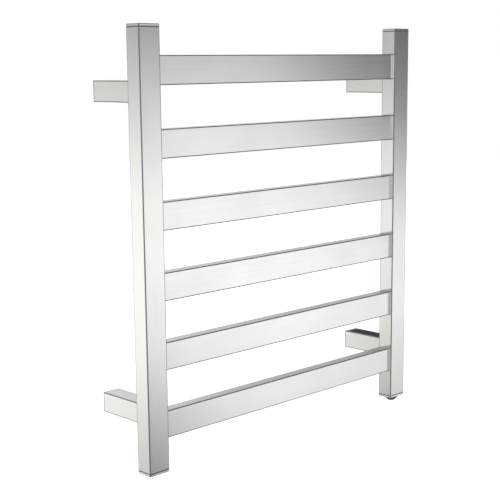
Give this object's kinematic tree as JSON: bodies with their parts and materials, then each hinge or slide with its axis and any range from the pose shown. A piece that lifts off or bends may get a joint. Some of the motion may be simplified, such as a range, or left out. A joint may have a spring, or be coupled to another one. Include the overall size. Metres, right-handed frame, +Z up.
{
  "type": "electric towel warmer rack",
  "caption": "Wall-mounted ladder towel warmer: flat tube bars between rectangular posts, square-tube arms back to the wall and a round push-button switch under a post.",
  "frame": {"origin": "centre of the rectangle of the four wall fixings, on the wall plane", "axes": "+X to the right for a person facing the rack, +Y into the wall, +Z up"},
  "size_m": [0.64, 0.12, 0.709],
  "materials": {
    "post_steel": "satin, brushed along the post",
    "bar_steel": "satin, brushed along the bar",
    "fitting_steel": "satin, brushed along the piece",
    "spigot_steel": "plain pressed",
    "plated_steel": "zinc plated",
    "gasket_rubber": "matt black",
    "cable_sheath": "matt silicone",
    "moulded_plastic": "moulded",
    "switch_plastic": "fine moulded, black",
    "lid_plastic": "fine moulded, black",
    "terminal_brass": "plain",
    "lead_insulation": "sleeved"
  },
  "bodies": {
    "rack": {"left_post": "post_steel", "right_post": "post_steel", "bar_1": "bar_steel", "bar_2": "bar_steel", "bar_3": "bar_steel", "bar_4": "bar_steel", "bar_5": "bar_steel", "bar_6": "bar_steel", "cap_top_left": "fitting_steel", "cap_top_right": "fitting_steel", "cap_bottom_left": "fitting_steel", "cap_bottom_right": "fitting_steel", "cap_gaskets": "gasket_rubber", "arm_upper_left": "fitting_steel", "arm_upper_right": "fitting_steel", "arm_lower_left": "fitting_steel", "arm_lower_right": "fitting_steel", "wall_spigot_upper_left": "spigot_steel", "wall_spigot_upper_right": "spigot_steel", "wall_spigot_lower_left": "spigot_steel", "wall_spigot_lower_right": "spigot_steel", "duct_lid": "lid_plastic", "arm_nut_plates": "plated_steel", "arm_bolts": "plated_steel", "arm_grub_screws": "plated_steel", "supply_grommet": "gasket_rubber", "heating_cable": "cable_sheath", "cable_end_seal": "gasket_rubber", "cold_joint": "gasket_rubber", "terminal_block": "moulded_plastic", "terminal_screws": "terminal_brass", "thermal_limiter": "moulded_plastic", "earth_stud": "terminal_brass", "earth_tag": "terminal_brass", "earth_nut": "terminal_brass", "internal_leads": "lead_insulation", "switch_housing": "switch_plastic", "switch_gasket": "gasket_rubber", "switch_nut": "switch_plastic", "spring_seat": "moulded_plastic", "switch_spring": "plated_steel", "switch_insulator": "moulded_plastic", "switch_blades": "terminal_brass"},
    "button": {"push_button": "switch_plastic", "contact_bridge": "terminal_brass"}
  },
  "joints": [
    {"name": "button_press", "type": "slide", "parent": "rack", "child": "button", "axis": [0, 0, 1], "range_m": [0, 0.002], "stiffness_N_per_m": 600, "springref_m": -0.002, "deforming": ["switch_spring"]}
  ]
}
